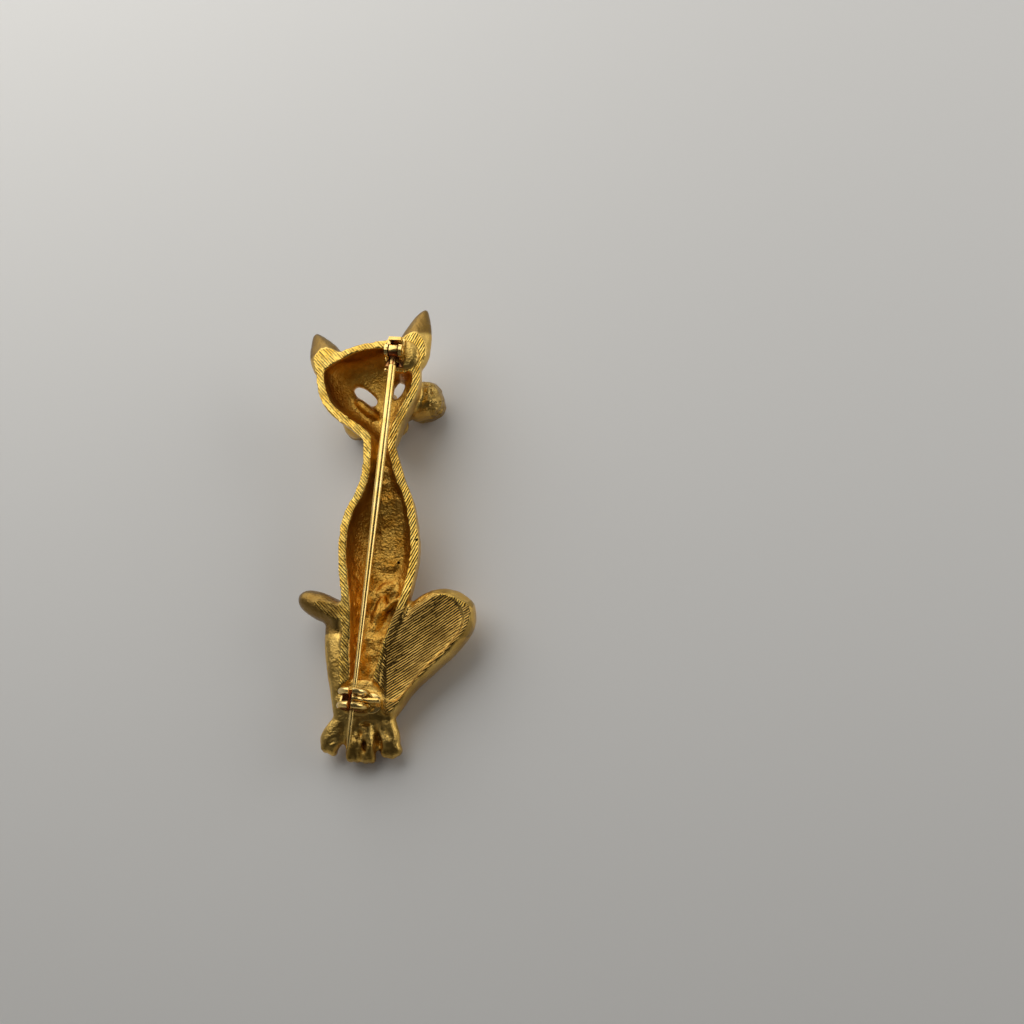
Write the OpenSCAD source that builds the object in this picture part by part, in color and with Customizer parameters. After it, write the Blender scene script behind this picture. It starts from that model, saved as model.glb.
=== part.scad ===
// Cat brooch: a hollow-backed casting of a seated, long-necked cat with pierced
// eyes, a pin stem hinged behind the head and a roll-over safety catch at the paws.
// The relief is drawn with +Y towards the ears, +X to the right as seen from the
// back, and +Z out of the back. The filed back rim is the plane z = 0, and the cat's
// face is below it. The last step lays the brooch face down on the ground plane.

/* [Casting] */
// Height of the cat from its paws to its ear tips
cat_h = 57.8; // [54:0.2:61.6]
// Width of the cat across its haunches
cat_w = 22.8; // [21.8:0.1:24]
// Width of the torso at its widest
torso_w = 10.3; // [9.6:0.1:11.4]
// Depth of the torso in front of the filed rim
torso_d = 5.8; // [5.2:0.1:6.6]
// Width of the head across the cheeks
head_w = 13.5; // [12.8:0.1:14.4]
// Length of the head from crown to throat
head_l = 13.6; // [13:0.1:14.4]
// Depth of the face in front of the filed rim
head_d = 6.2; // [5.6:0.1:7]
// Sideways roll of the head, right ear up
head_roll = 12; // [8:1:16]
// Thickness of the cast wall
wall = 1.1; // [0.9:0.05:1.3]
// Length of the left ear
ear_l = 6; // [5.4:0.1:6.6]
// Width of an ear at its root
ear_w = 4.4; // [3.8:0.1:5]
// Width of one whisker pad
pad_w = 5; // [4.6:0.1:5.6]
// Distance from the rim plane to the front of the whisker pads
pad_d = 9.6; // [8.8:0.1:10.4]
// Length of one pierced eye
eye_l = 3.7; // [3.2:0.1:4.1]
// Length of the right thigh from knee to ankle
thigh_l = 17.3; // [16.6:0.1:18]
// Width of the right thigh at its widest
thigh_w = 8.4; // [7.8:0.1:9]
// Depth of the legs in front of the filed rim
leg_d = 5.4; // [4.8:0.1:6]
// Width of one paw
paw_w = 2.6; // [2.3:0.1:2.9]

/* [Pin stem] */
// Length of the stem from its hinge axis to its point
stem_l = 50.4; // [48:0.2:52]
// Radius of the round shank
stem_r = 0.5; // [0.42:0.02:0.54]
// Distance from the hinge axis to the start of the straight shank
neck_l = 2.4; // [2:0.1:3]
// Distance from the hinge axis to the start of the long taper
shank_l = 19.5; // [16:0.5:24]
// Radius of the stem where it lies in the catch
stem_catch_r = 0.26; // [0.2:0.01:0.28]
// Height of the stem's axis above the filed rim
stem_h = 1.7; // [1.6:0.05:2]
// Angle between the stem and the cat's upright axis
stem_lean = 6.6; // [6:0.1:7.2]

/* [Hinge] */
// Radius of the round cast seat under the hinge
hinge_seat_r = 2.3; // [2.2:0.05:2.5]
// Width of the folded hinge over its two ears
hinge_w = 2.2; // [2.1:0.05:2.6]
// Length of the folded hinge along the stem
hinge_l = 3.5; // [3.2:0.1:3.9]
// Thickness of the sheet that the hinge and the catch base are made from
sheet_t = 0.42; // [0.34:0.02:0.46]
// Radius of the stem's eye
eye_r = 0.78; // [0.7:0.02:0.86]
// Radius of the hinge rivet
rivet_r = 0.3; // [0.24:0.02:0.34]

/* [Catch] */
// Distance from the hinge axis to the middle of the catch
catch_pos = 44.3; // [43.4:0.1:45]
// Outer radius of the catch's two collars
collar_r = 1.95; // [1.85:0.05:2.1]
// Length of the catch along the stem
catch_l = 2.5; // [2.4:0.1:2.8]
// Width of the window between the two collars
window_w = 0.94; // [0.86:0.02:1.02]
// Reach of the lever from the catch's axis
lever_reach = 3.6; // [3.2:0.1:3.9]
// Length of the soldered catch base, across the stem
catch_base_l = 5.4; // [5:0.1:6]
// Radius of the cast seat under the catch
catch_seat_r = 3; // [2.8:0.05:3.3]

/* [Fit] */
// Running clearance between a turning part and its bore
run_gap = 0.05; // [0.03:0.01:0.08]
// Gap at each side of the stem's eye between the hinge ears
side_gap = 0.1; // [0.06:0.01:0.14]
// How deep the soldered findings bed into their seats
solder = 0.12; // [0.08:0.01:0.18]

/* [Hidden] */
cast_gold = [0.78, 0.6, 0.24];
bright_gold = [0.93, 0.8, 0.42];

// Height that the tables' shares refer to, from the paws to just under the ear tips
ref_h = 0.986 * cat_h;

// How far an open back runs past the rim plane before it is filed flat
lip = 0.8;
// Roundness of the relief's cross-section: 1 is an ellipse, less is boxier
fullness = 0.825;
// Points across the front of one section
around = 12;

// Where the head turns, as a share of ref_h, and its offset from the torso's middle
head_at = [-0.0417 * cat_w, 0.822 * ref_h, 0];
// The face looks a little to the right of the head's middle
face_x = 0.085 * head_w;
// Share of head_l above the head's turning point
crown_share = 0.42;

// Torso from throat to ankles. Columns: height share of ref_h, left and right reach
// as shares of half the torso width, depth share of torso_d.
TORSO = [
    [0.765, 0.34, 0.40, 0.58],
    [0.730, 0.36, 0.42, 0.58],
    [0.690, 0.38, 0.43, 0.56],
    [0.652, 0.39, 0.52, 0.56],
    [0.618, 0.44, 0.62, 0.61],
    [0.584, 0.57, 0.76, 0.70],
    [0.549, 0.79, 0.88, 0.82],
    [0.507, 0.94, 0.96, 0.93],
    [0.447, 1.00, 1.00, 1.00],
    [0.396, 0.96, 0.92, 1.00],
    [0.328, 0.89, 0.70, 0.92],
    [0.259, 0.90, 0.38, 0.80],
    [0.191, 0.90, 0.15, 0.74],
    [0.140, 0.88, 0.03, 0.70],
    [0.085, 0.80, 0.00, 0.60]
];

// Head from crown to throat, in its own rolled frame. Columns: share of head_l down
// from the crown, half-width share, depth share of head_d.
HEAD = [
    [0.000, 0.56, 0.34],
    [0.020, 0.74, 0.52],
    [0.060, 0.88, 0.70],
    [0.145, 0.97, 0.87],
    [0.270, 1.00, 0.97],
    [0.400, 0.985, 1.00],
    [0.545, 0.885, 1.00],
    [0.665, 0.715, 0.96],
    [0.800, 0.48, 0.88],
    [0.915, 0.33, 0.76],
    [1.000, 0.25, 0.60]
];

// Limbs from root to tip. Columns: share of the limb's length, left and right reach
// as shares of its width, height of its widest line, its rise above that line and its
// drop below it as shares of its depth.
EAR = [
    [-0.16, 0.28, 0.30, -0.36, 0.40, 0.40],
    [0.00, 0.50, 0.50, -0.30, 0.55, 0.55],
    [0.30, 0.50, 0.48, -0.36, 0.46, 0.48],
    [0.55, 0.42, 0.38, -0.46, 0.36, 0.38],
    [0.78, 0.28, 0.22, -0.60, 0.25, 0.26],
    [0.93, 0.15, 0.10, -0.70, 0.16, 0.16],
    [1.00, 0.03, 0.03, -0.74, 0.05, 0.05]
];
THIGH = [
    [0.000, -0.02, 0.24, -0.30, 0.10, 0.16],
    [0.035, 0.09, 0.43, -0.30, 0.26, 0.34],
    [0.087, 0.18, 0.57, -0.28, 0.36, 0.50],
    [0.150, 0.24, 0.66, -0.28, 0.42, 0.62],
    [0.240, 0.27, 0.73, -0.28, 0.44, 0.70],
    [0.405, 0.24, 0.73, -0.28, 0.44, 0.72],
    [0.595, 0.16, 0.58, -0.28, 0.44, 0.64],
    [0.763, 0.11, 0.41, -0.28, 0.42, 0.56],
    [0.920, 0.15, 0.27, -0.28, 0.40, 0.48],
    [1.000, 0.12, 0.18, -0.30, 0.30, 0.38]
];
KNEE = [
    [0.00, 0.50, 0.50, -0.34, 0.40, 0.52],
    [0.30, 0.56, 0.56, -0.36, 0.40, 0.52],
    [0.55, 0.56, 0.56, -0.38, 0.38, 0.46],
    [0.80, 0.45, 0.46, -0.40, 0.32, 0.38],
    [0.94, 0.29, 0.30, -0.42, 0.22, 0.25],
    [1.00, 0.09, 0.10, -0.44, 0.07, 0.07]
];
SHIN = [
    [0.00, 0.20, 0.60, -0.36, 0.20, 0.30],
    [0.25, 0.56, 0.70, -0.34, 0.30, 0.42],
    [0.60, 0.74, 0.60, -0.34, 0.32, 0.44],
    [0.90, 0.40, 0.50, -0.34, 0.28, 0.42],
    [1.00, 0.26, 0.40, -0.36, 0.22, 0.34]
];
PAW = [
    [0.00, 0.30, 0.30, -0.40, 0.18, 0.26],
    [0.20, 0.42, 0.42, -0.42, 0.24, 0.36],
    [0.55, 0.50, 0.50, -0.46, 0.28, 0.42],
    [0.85, 0.46, 0.46, -0.50, 0.26, 0.36],
    [1.00, 0.28, 0.28, -0.52, 0.14, 0.20]
];
FORELEG = [
    [0.00, 0.30, 0.30, -0.80, 0.20, 0.12],
    [0.20, 0.44, 0.44, -0.78, 0.30, 0.26],
    [0.60, 0.46, 0.46, -0.62, 0.30, 0.28],
    [1.00, 0.42, 0.42, -0.46, 0.26, 0.28]
];

// Catmull-Rom value of column c at the fractional row t
function cell(rows, i, c) = rows[max(0, min(len(rows) - 1, i))][c];
function bend(a, b, c, d, f) =
    b + 0.5 * f * (c - a + f * (2 * a - 5 * b + 4 * c - d + f * (3 * (b - c) + d - a)));
function along(rows, t, c) =
    let (i = min(floor(t), len(rows) - 2))
    bend(cell(rows, i - 1, c), cell(rows, i, c), cell(rows, i + 1, c), cell(rows, i + 2, c), t - i);

// Closed polyhedron through rings that all have the same number of points
module skin(rings) {
    n = len(rings[0]);
    m = len(rings);
    sides = [for (j = [0:m - 2]) for (i = [0:n - 1])
        [j * n + i, j * n + (i + 1) % n, (j + 1) * n + (i + 1) % n, (j + 1) * n + i]];
    start = [for (i = [n - 1:-1:0]) i];
    finish = [for (i = [0:n - 1]) (m - 1) * n + i];
    polyhedron([for (r = rings) for (p = r) p], concat([start], sides, [finish]), convexity = 6);
}

// One open-backed ring of the relief at height y, with its rounded front below z = 0
function relief_ring(y, left, right, depth) = concat(
    [[right, y, lip]],
    [for (k = [0:around])
        let (a = 180 * k / around, x = cos(a), z = sin(a))
        [(x > 0 ? right : left) * sign(x) * pow(abs(x), fullness), y, -depth * pow(z, fullness)]],
    [[-left, y, lip]]
);

// How much wider a wall of even thickness reads across a sloping outline
function slant(side, rise) = norm([side, rise]) / max(abs(rise), 0.02);

// Torso and neck, or their hollow when inset by the wall
module torso_form(inset, rows_used) {
    half = torso_w / 2;
    steps = 2 * rows_used;
    skin([for (j = [0:steps])
        let (t = rows_used * j / steps, a = max(0, t - 0.05), b = t + 0.05,
            dy = ref_h * (along(TORSO, a, 0) - along(TORSO, b, 0)),
            dl = half * (along(TORSO, a, 1) - along(TORSO, b, 1)),
            dr = half * (along(TORSO, a, 2) - along(TORSO, b, 2)))
        relief_ring(ref_h * along(TORSO, t, 0),
            half * along(TORSO, t, 1) - inset * slant(dl, dy),
            half * along(TORSO, t, 2) - inset * slant(dr, dy),
            torso_d * along(TORSO, t, 3) - inset)]);
}

// Head, or its hollow when inset by the wall, in the head's rolled frame
module head_form(inset) {
    last = len(HEAD) - 1;
    first = inset > 0 ? 3 * wall / head_l / 0.14 : 0;
    steps = 20;
    skin([for (j = [0:steps])
        let (t = first + (last - first) * j / steps, a = max(0, t - 0.05), b = t + 0.05,
            dy = head_l * (along(HEAD, b, 0) - along(HEAD, a, 0)),
            dx = head_w / 2 * (along(HEAD, b, 1) - along(HEAD, a, 1)),
            reach = head_w / 2 * along(HEAD, t, 1) - inset * min(slant(dx, dy), 3.2))
        relief_ring(head_l * (crown_share - along(HEAD, t, 0)), reach, reach,
            head_d * along(HEAD, t, 2) - inset)]);
}

// A limb lofted from one point to another in the relief's plane
module limb(rows, from, to, width, depth, steps = 9, n = 12) {
    run = to - from;
    length = norm([run[0], run[1]]);
    last = len(rows) - 1;
    translate([from[0], from[1], 0]) rotate(atan2(-run[0], run[1]))
        skin([for (j = [0:steps])
            let (t = last * j / steps, y = length * along(rows, t, 0),
                left = width * along(rows, t, 1), right = width * along(rows, t, 2),
                mid = depth * along(rows, t, 3), rise = depth * along(rows, t, 4),
                drop = depth * along(rows, t, 5))
            [for (k = [0:n - 1])
                let (a = 180 + 360 * k / n, x = cos(a), z = sin(a))
                [(x > 0 ? right : left) * x, y, mid + (z > 0 ? rise : drop) * z]]]);
}

// A puffed cushion shape: a sphere drawn out towards a box
module puff(size, boxy = 0.72, n = 16) {
    function power(v) = sign(v) * pow(abs(v), boxy);
    half = size / 2;
    skin([for (j = [1:n / 2 - 1])
        let (b = -90 + 360 * j / n, ring = power(cos(b)))
        [for (k = [0:n - 1])
            let (a = 360 * k / n)
            [half[0] * ring * power(cos(a)), half[1] * power(sin(b)), half[2] * ring * power(sin(a))]]]);
}

module at_head() translate(head_at) rotate(head_roll) children();

// The two ears: leaves that leave the filed back at their roots and lean to the front
module ears() {
    limb(EAR, [-0.34 * head_w, 0.30 * head_l], [-0.43 * head_w, 0.30 * head_l + ear_l], ear_w, 0.55 * head_d);
    limb(EAR, [0.425 * head_w, 0.18 * head_l], [0.66 * head_w, 0.18 * head_l + 1.13 * ear_l], ear_w, 0.55 * head_d);
}

// Puffed whisker pads, muzzle, nose and chin
module muzzle() {
    pad_size = [pad_w, 0.98 * pad_w, 1.1 * pad_w];
    for (side = [-1, 1])
        translate([face_x + side * 0.86 * pad_w, -0.10 * head_l, -pad_d + pad_size[2] / 2])
            puff(pad_size);
    translate([face_x, -0.10 * head_l, -0.66 * pad_d]) puff(pad_w * [1.2, 0.92, 1], 1);
    translate([face_x, 0.02 * head_l, -0.80 * pad_d]) puff(pad_w * [0.44, 0.36, 0.48], 0.9, 12);
    translate([face_x, -0.29 * head_l, -0.60 * pad_d]) puff(pad_w * [0.72, 0.56, 0.68], 0.94, 12);
}

// The pierced almond eyes
module eye_holes() {
    for (side = [-1, 1])
        translate([(0.048 + side * 0.174) * head_w, 0.07 * head_l, -1.6 * head_d]) rotate(side * 52)
            scale([1, 0.42, 1]) cylinder(d = eye_l, h = 1.6 * head_d + 1, $fn = 24);
}

// Right thigh, left knee, left shin, forelegs and paws
knee_r = [0.5123 * cat_w, 0.329 * ref_h];
ankle_r = knee_r + thigh_l * [-0.641, -0.767];
hip_l = [-0.206 * cat_w, 0.312 * ref_h];
knee_l = [-0.4605 * cat_w, 0.364 * ref_h];
ankle_l = [-0.206 * cat_w, 0.088 * ref_h];

module legs() {
    limb(THIGH, knee_r, ankle_r, thigh_w, leg_d, 14, 16);
    limb(KNEE, hip_l, knee_l, 0.37 * thigh_w, leg_d);
    limb(SHIN, [-0.243 * cat_w, 0.30 * ref_h], ankle_l, 0.31 * thigh_w, leg_d);
    for (x = [-0.158, -0.07] * cat_w)
        limb(FORELEG, [x, 0.34 * ref_h], [x, 0.06 * ref_h], paw_w, torso_d);
}

module paws() {
    paw([-0.197 * cat_w, 0.092 * ref_h], [-0.307 * cat_w, 0.030 * ref_h], 1.15 * paw_w);
    paw([-0.154 * cat_w, 0.082 * ref_h], [-0.158 * cat_w, 0.004 * ref_h], 0.78 * paw_w);
    paw([-0.07 * cat_w, 0.082 * ref_h], [-0.075 * cat_w, 0], 0.78 * paw_w);
    paw([0.026 * cat_w, 0.095 * ref_h], [0.044 * cat_w, 0.014 * ref_h], 1.12 * paw_w);
}

// One paw, with two cuts across its tip that part the toes
module paw(heel, tip, width) {
    run = tip - heel;
    difference() {
        limb(PAW, heel, tip, width, 0.8 * leg_d, 8, 12);
        translate([tip[0], tip[1], -0.72 * leg_d]) rotate(atan2(-run[0], run[1]))
            for (side = [-1, 1])
                translate([side * 0.17 * width, 0.19 * paw_w, 0]) rotate([45, 0, 0])
                    cube([0.09 * width, 0.92 * paw_w, 0.92 * paw_w], center = true);
    }
}

// The cast relief: every form joined, hollowed from the back, filed flat and brought
// to its full depth from the filed rim to the whisker pads
module relief() resize([0, 0, pad_d]) {
    difference() {
        union() {
            torso_form(0, len(TORSO) - 1);
            at_head() {
                head_form(0);
                ears();
                muzzle();
            }
            legs();
            paws();
        }
        difference() {
            torso_form(wall, len(TORSO) - 2);
            // The trough runs shallower between the legs
            rotate([90, 0, 90]) linear_extrude(cat_w, center = true) polygon([
                [0, -2 * torso_d], [0, -0.5 * torso_d], [0.27 * ref_h, -0.52 * torso_d],
                [0.36 * ref_h, -0.9 * torso_d], [0.36 * ref_h, -2 * torso_d]
            ]);
        }
        at_head() {
            head_form(wall);
            eye_holes();
        }
        at_catch() translate([catch_seat_x, 0, -catch_drop])
            cylinder(r = catch_seat_r, h = 5, $fn = 48);
        translate([-ref_h / 2, -0.2 * ref_h, 0]) cube([ref_h, 1.4 * ref_h, 1.1 * pad_d]);
    }
    hinge_seat();
    catch_seat();
    plain_pad();
}

// Where the stem's hinge axis crosses the stem, over its seat in the head
hinge_at = [0.1815 * head_w, 0.892 * ref_h, stem_h];

// Frame of the stem: hinge axis along X, stem running down -Y
module at_hinge() translate(hinge_at) rotate(-stem_lean) children();
module at_catch() at_hinge() translate([0, -catch_pos, 0]) children();

// Heights of the two seats below the stem's axis, and the catch seat's offset from it
hinge_drop = stem_h;
catch_drop = collar_r + sheet_t - 0.05;
catch_seat_x = 0.13 * catch_seat_r;

module hinge_seat() {
    intersection() {
        at_head() head_form(0);
        at_hinge() translate([0.3 * hinge_seat_r, 0, -hinge_drop - head_d])
            cylinder(r = hinge_seat_r, h = head_d, $fn = 40);
    }
}

// Raised plain pad on the torso's cavity floor
module plain_pad() {
    intersection() {
        translate([0.073 * torso_w, 0.502 * ref_h, -torso_d]) rotate(-3) linear_extrude(torso_d)
            offset(0.07 * torso_w, $fn = 16) square([0.1 * torso_w, 0.13 * ref_h], center = true);
        difference() {
            torso_form(0.5 * wall, len(TORSO) - 2);
            torso_form(wall + 0.3, len(TORSO) - 2);
        }
    }
}

module catch_seat() {
    at_catch() translate([catch_seat_x, 0, -catch_drop - 0.55 * leg_d])
        cylinder(r = catch_seat_r, h = 0.55 * leg_d, $fn = 48);
}

// Folded hinge soldered behind the head: round patch, two ears and a back flange
module hinge_joint() {
    ear_h = 1.35 * eye_r;
    at_hinge() difference() {
        union() {
            translate([0.4 * hinge_seat_r, 0, -hinge_drop - solder])
                cylinder(r = 0.8 * hinge_seat_r, h = sheet_t + solder, $fn = 48);
            for (side = [-1, 1])
                translate([side * (hinge_w - sheet_t) / 2, 0, 0])
                    rotate([90, 0, 90]) linear_extrude(sheet_t, center = true) union() {
                        circle(r = ear_h - 0.2, $fn = 48);
                        translate([-hinge_l / 2, -hinge_drop]) square([hinge_l, hinge_drop - 0.35]);
                        translate([0, -hinge_drop]) square([0.36 * hinge_l, hinge_drop + 0.35]);
                    }
            translate([-0.36 * hinge_w, hinge_l / 2 - sheet_t, -hinge_drop])
                cube([0.72 * hinge_w, sheet_t, hinge_drop + 0.35]);
            translate([-hinge_w / 2, -hinge_l / 2, -hinge_drop - solder])
                cube([hinge_w, hinge_l, sheet_t + solder]);
        }
        translate([-hinge_w, 0, 0]) rotate([0, 90, 0])
            cylinder(r = rivet_r + 0.03, h = 2 * hinge_w, $fn = 32);
    }
}

module catch_body() {
    bore = collar_r - sheet_t - 0.12;
    at_catch() difference() {
        union() {
            rotate([90, 0, 0]) cylinder(r = collar_r, h = catch_l, center = true, $fn = 64);
            translate([-0.74 * collar_r, -catch_l / 2, -catch_drop + 0.1])
                cube([1.48 * collar_r, catch_l, 0.69 * collar_r]);
            translate([catch_seat_x, 0, -catch_drop - solder]) catch_base(sheet_t + solder);
        }
        rotate([90, 0, 0]) cylinder(r = bore, h = 2 * catch_l, center = true, $fn = 64);
        // Mouth that the stem drops through
        translate([-stem_catch_r - 0.06, -catch_l, 0])
            cube([2 * stem_catch_r + 0.12, 2 * catch_l, 2 * collar_r]);
        // Window that the lever swings in
        translate([-2 * collar_r, -window_w / 2, -0.35]) cube([4 * collar_r, window_w, 2 * collar_r]);
    }
}

// Oblong base plate with round ends
module catch_base(h) {
    reach = (catch_base_l - catch_l) / 2;
    for (side = [-1, 1])
        translate([side * reach, 0, 0]) cylinder(d = catch_l, h = h, $fn = 40);
    translate([-reach, -catch_l / 2, 0]) cube([2 * reach, catch_l, h]);
}

module cat_casting() color(cast_gold) lay_down() {
    relief();
    hinge_joint();
    catch_body();
}

// Rivet through both hinge ears and the stem's eye, peened at each end
module hinge_rivet() color(bright_gold) lay_down() at_hinge() {
    head_t = 0.14;
    rotate([0, 90, 0]) {
        cylinder(r = rivet_r, h = hinge_w + 2 * head_t, center = true, $fn = 32);
        for (side = [-1, 1])
            translate([0, 0, side * (hinge_w / 2 + 0.02 + head_t / 2)])
                cylinder(r = 1.55 * rivet_r, h = head_t, center = true, $fn = 32);
    }
}

// Pin stem: drilled eye, round shank, long taper and point
module pin_stem() color(bright_gold) lay_down() at_hinge() {
    point_l = 1.6;
    difference() {
        union() {
            rotate([0, 90, 0])
                cylinder(r = eye_r, h = hinge_w - 2 * sheet_t - 2 * side_gap, center = true, $fn = 48);
            rotate([90, 0, 0]) rotate_extrude($fn = 40) polygon([
                [0, eye_r / 2], [0.8 * stem_r, eye_r / 2], [0.8 * stem_r, 0.6 * neck_l],
                [stem_r, neck_l], [stem_r, shank_l],
                [stem_catch_r, catch_pos - catch_l], [stem_catch_r, stem_l - point_l],
                [0.06, stem_l], [0, stem_l]
            ]);
        }
        rotate([0, 90, 0]) cylinder(r = rivet_r + run_gap, h = 2 * hinge_w, center = true, $fn = 32);
    }
}

// Roll-over sleeve in the collars, with the lever that turns it
module catch_lever() color(bright_gold) lay_down() at_catch() {
    sleeve_r = collar_r - sheet_t - 0.12 - run_gap;
    lever_w = window_w - 0.16;
    lever_t = 0.45;
    lever_rise = 12;
    difference() {
        union() {
            rotate([90, 0, 0]) cylinder(r = sleeve_r, h = catch_l - 0.06, center = true, $fn = 56);
            rotate([0, -lever_rise, 0]) {
                translate([sleeve_r - 0.4, -lever_w / 2, -lever_t / 2])
                    cube([lever_reach - sleeve_r + 0.4 - lever_t / 2, lever_w, lever_t]);
                translate([lever_reach - lever_t / 2, 0, 0]) rotate([90, 0, 0])
                    cylinder(d = lever_t, h = lever_w, center = true, $fn = 24);
            }
        }
        rotate([90, 0, 0]) cylinder(r = 0.5 * sleeve_r, h = 2 * catch_l, center = true, $fn = 40);
        // Slot that lets the stem in while the catch is open
        rotate([90, 0, 0]) linear_extrude(2 * catch_l, center = true)
            polygon([
                [stem_catch_r + 0.06, 0], [stem_catch_r + 0.06, 2.6 * sleeve_r],
                [-1.64 * sleeve_r, 2.6 * sleeve_r], [-1.64 * sleeve_r, 0.95 * sleeve_r],
                [-0.26 * sleeve_r, 0]
            ]);
    }
}

// Resting face down: the brooch stands on both whisker pads and the forelegs
lie_pitch = atan2(pad_d - 1.014 * torso_d, 0.5436 * ref_h);
lie_roll = -1.45;
middle = [0.0288 * cat_w, 0.5075 * ref_h, 0.0718 * ref_h];
module lay_down() translate([-middle[0], -middle[1], middle[2]])
    rotate([lie_pitch, -lie_roll, 0]) children();

cat_casting();
hinge_rivet();
pin_stem();
catch_lever();
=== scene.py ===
import math

import bmesh
import bpy
import numpy as np
from mathutils import Matrix, Vector, bvhtree, noise


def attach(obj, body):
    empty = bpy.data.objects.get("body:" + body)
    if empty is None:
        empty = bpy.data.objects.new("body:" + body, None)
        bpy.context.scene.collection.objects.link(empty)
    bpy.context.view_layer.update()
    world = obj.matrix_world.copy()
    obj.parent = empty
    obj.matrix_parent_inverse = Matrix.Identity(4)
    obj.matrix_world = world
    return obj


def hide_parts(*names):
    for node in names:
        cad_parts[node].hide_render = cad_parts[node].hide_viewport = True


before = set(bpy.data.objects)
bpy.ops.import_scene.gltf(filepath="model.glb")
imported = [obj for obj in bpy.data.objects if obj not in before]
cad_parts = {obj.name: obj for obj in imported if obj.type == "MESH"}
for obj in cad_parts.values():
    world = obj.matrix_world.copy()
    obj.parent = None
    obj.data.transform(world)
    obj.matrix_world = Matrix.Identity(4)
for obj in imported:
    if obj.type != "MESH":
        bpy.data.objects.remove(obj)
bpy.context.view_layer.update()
scene = bpy.context.scene

# The cast cat: one hollow-backed casting of gilt white metal, a seated cat with a
# long neck. Its back rim is filed flat across, the hollow keeps the skin of the
# mould, and it lies face down on its two whisker pads and its forelegs.
tall = 57.8                   # mm from the paws to the ear tips
upright = 0.986 * tall        # and to just under the tips, along the relief
pad_depth, body_depth, head_long, head_wide = 9.6, 5.8, 13.6, 13.5
fine_skin, rim_skin = 0.2, 0.185    # mm between the points of the remeshed skin
rim_rise = 0.7                # mm of metal left above the rim for the file to take off
head_roll = math.radians(12)
head_at = Vector((-0.951, 0.822 * upright, 0))
face_x = 0.085 * head_wide
lie_pitch = math.atan2(pad_depth - 1.014 * body_depth, 0.5436 * upright)
lie_roll = math.radians(1.45)
lie_shift = Vector((-0.6566, -0.5075 * upright, 0.0718 * upright))
relief = (Matrix.Scale(0.001, 4) @ Matrix.Translation(lie_shift)
          @ Matrix.Rotation(lie_roll, 4, "Y") @ Matrix.Rotation(lie_pitch, 4, "X"))
head = Matrix.Translation(head_at) @ Matrix.Rotation(head_roll, 4, "Z")


def new_piece(name, mesh, place=None):
    """Puts a mesh in the scene, brought from its own frame in mm into place."""
    if place is not None:
        mesh.transform(place)
    piece = bpy.data.objects.new(name, mesh)
    scene.collection.objects.link(piece)
    return piece


def settle(piece):
    """Makes the piece's modifiers part of its mesh."""
    graph = bpy.context.evaluated_depsgraph_get()
    mesh = bpy.data.meshes.new_from_object(piece.evaluated_get(graph))
    piece.modifiers.clear()
    piece.data = mesh


def cut(piece, tool, how="DIFFERENCE"):
    """Cuts the tool out of the piece, or joins the two, and uses the tool up."""
    step = piece.modifiers.new("cut", "BOOLEAN")
    step.solver, step.operation, step.object = "MANIFOLD", how, tool
    settle(piece)
    bpy.data.objects.remove(tool)
    return piece


def from_bmesh(name, form, place=None):
    mesh = bpy.data.meshes.new(name)
    bmesh.ops.recalc_face_normals(form, faces=form.faces)
    form.to_mesh(mesh)
    form.free()
    return new_piece(name, mesh, place)


def block(low, high, place=None):
    """A plain block between two corners."""
    form = bmesh.new()
    bmesh.ops.create_cube(form, size=1)
    for v in form.verts:
        v.co = Vector([low[i] + (v.co[i] + 0.5) * (high[i] - low[i]) for i in range(3)])
    return from_bmesh("block", form, place)


def ball(centre, size, turn=0, place=None, rings=14):
    """A ball drawn out to three half sizes and turned about Z by degrees."""
    form = bmesh.new()
    bmesh.ops.create_uvsphere(form, u_segments=rings * 2, v_segments=rings, radius=1)
    shape = (Matrix.Translation(centre) @ Matrix.Rotation(math.radians(turn), 4, "Z")
             @ Matrix.Diagonal((*size, 1)))
    return from_bmesh("ball", form, (place or Matrix()) @ shape)


def loft(rings, place=None):
    """A closed skin through rings that all have the same number of points."""
    form = bmesh.new()
    rows = [[form.verts.new(p) for p in ring] for ring in rings]
    count = len(rows[0])
    for low, high in zip(rows, rows[1:]):
        for i in range(count):
            form.faces.new((low[i], low[(i + 1) % count], high[(i + 1) % count], high[i]))
    form.faces.new(rows[0][::-1])
    form.faces.new(rows[-1])
    return from_bmesh("loft", form, place)


def lathe(profile, place=None, sides=48):
    """A turned form about Z through (radius, height) pairs."""
    turns = [2 * math.pi * k / sides for k in range(sides)]
    least = 0.004    # mm, so that an end on the axis keeps its ring of points
    return loft([[(max(r, least) * math.cos(a), max(r, least) * math.sin(a), z)
                  for a in turns] for r, z in profile], place)


def drum(radius, low, high, place=None, sides=64):
    """A plain round bar about Z."""
    return lathe([(radius, low), (radius, high)], place, sides)


def rounded(points, per=6):
    """A smooth closed outline through a few points."""
    count, line = len(points), []
    for i in range(count):
        a, b, c, d = (Vector((*points[(i + k) % count], 0)) for k in (-1, 0, 1, 2))
        for t in (k / per for k in range(per)):
            line.append(b + 0.5 * t * (c - a + t * (2 * a - 5 * b + 4 * c - d
                                                    + t * (3 * (b - c) + d - a))))
    return line


def dish(outline, deep, place=None, above=2, steps=6):
    """A tool with a flat outline and a dished underside, to scoop a facet with."""
    middle = sum(outline, Vector()) / len(outline)
    rings = [[p + Vector((0, 0, above)) for p in outline]]
    for k in range(steps):
        share = 1 - k / steps
        rings.append([middle + share * (p - middle) - Vector((0, 0, deep * (1 - share ** 2)))
                      for p in outline])
    rings.append([middle + 0.02 * (p - middle) - Vector((0, 0, deep)) for p in outline])
    return loft(rings, place)


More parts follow.
